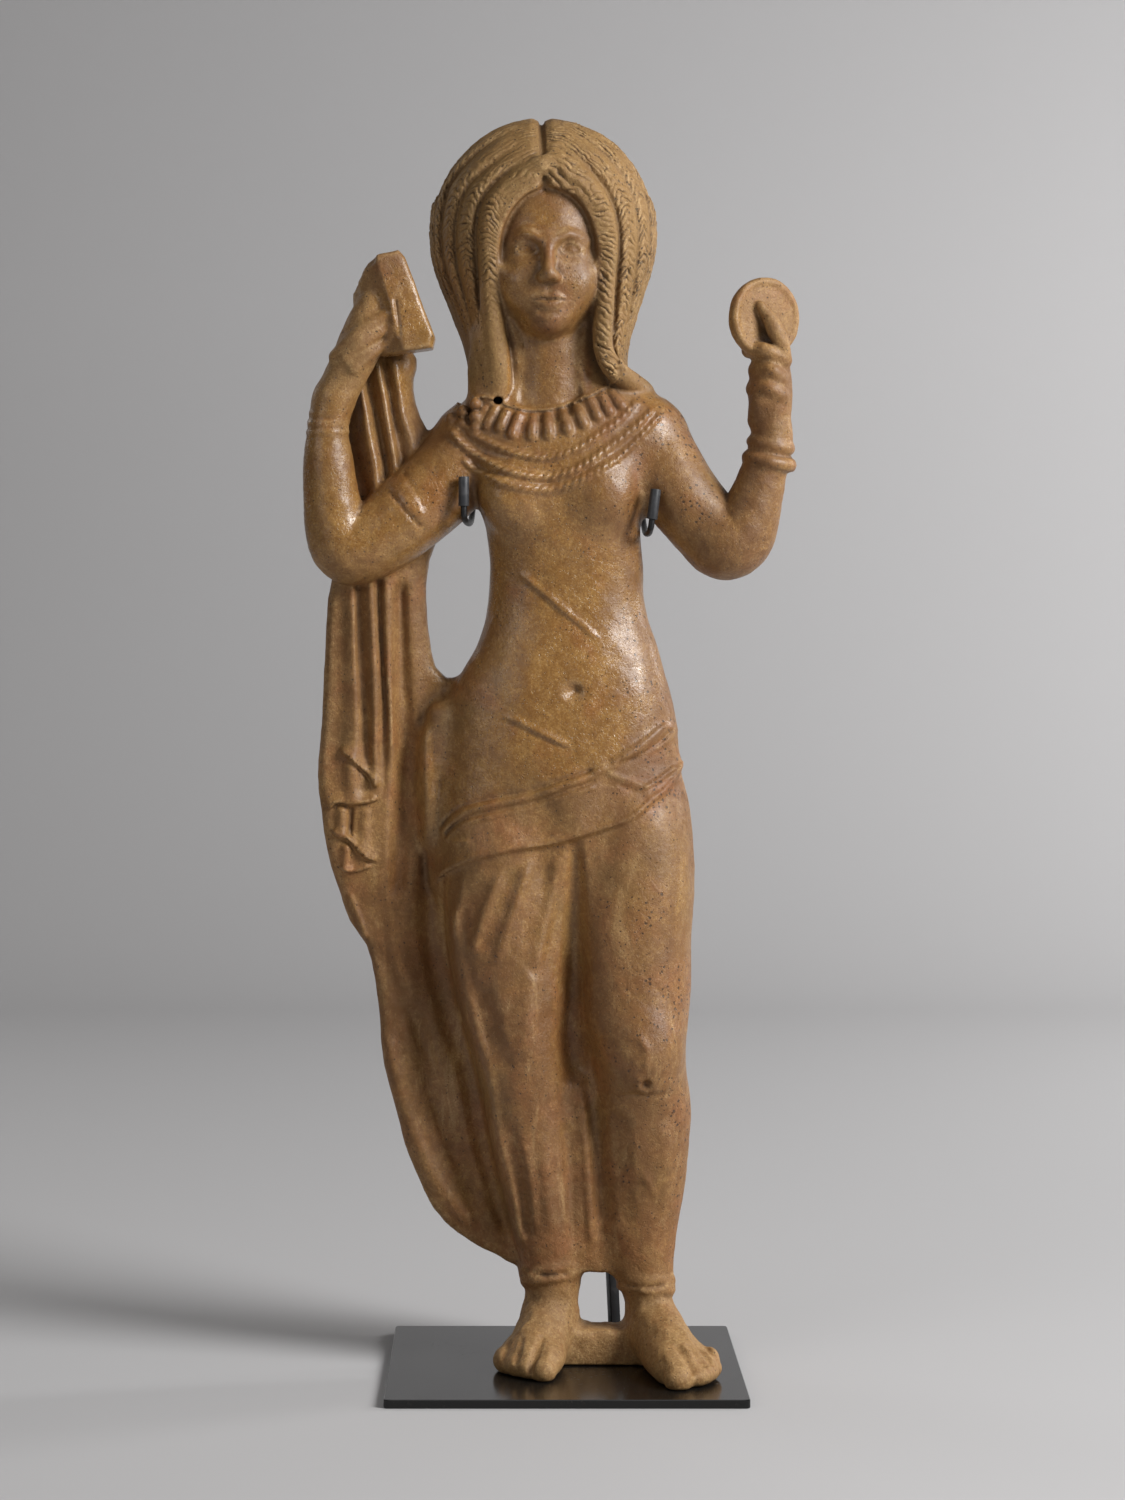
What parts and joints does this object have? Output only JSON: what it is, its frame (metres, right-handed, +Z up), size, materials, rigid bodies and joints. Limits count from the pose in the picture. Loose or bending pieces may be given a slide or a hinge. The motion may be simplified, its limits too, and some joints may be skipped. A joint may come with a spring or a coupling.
{
  "type": "roman figurine",
  "caption": "Half-draped goddess moulded in terracotta, holding up a casket and a round mirror, on a square steel plate with a post whose wire hooks pass under her arms.",
  "frame": {"origin": "centre of the base plate's underside", "axes": "+Z up, the figurine faces -Y, +X to the viewer's right"},
  "size_m": [0.1835, 0.13, 0.4674],
  "materials": {
    "terracotta": "fired clay, burnished on the bare skin, with darker folds",
    "plate_steel": "gloss black lacquer",
    "post_steel": "satin black lacquer",
    "tubing": "soft grey tubing"
  },
  "bodies": {
    "root": {"figurine": "terracotta", "base_plate": "plate_steel", "support_post": "post_steel", "left_sleeve": "tubing", "right_sleeve": "tubing"}
  },
  "joints": []
}
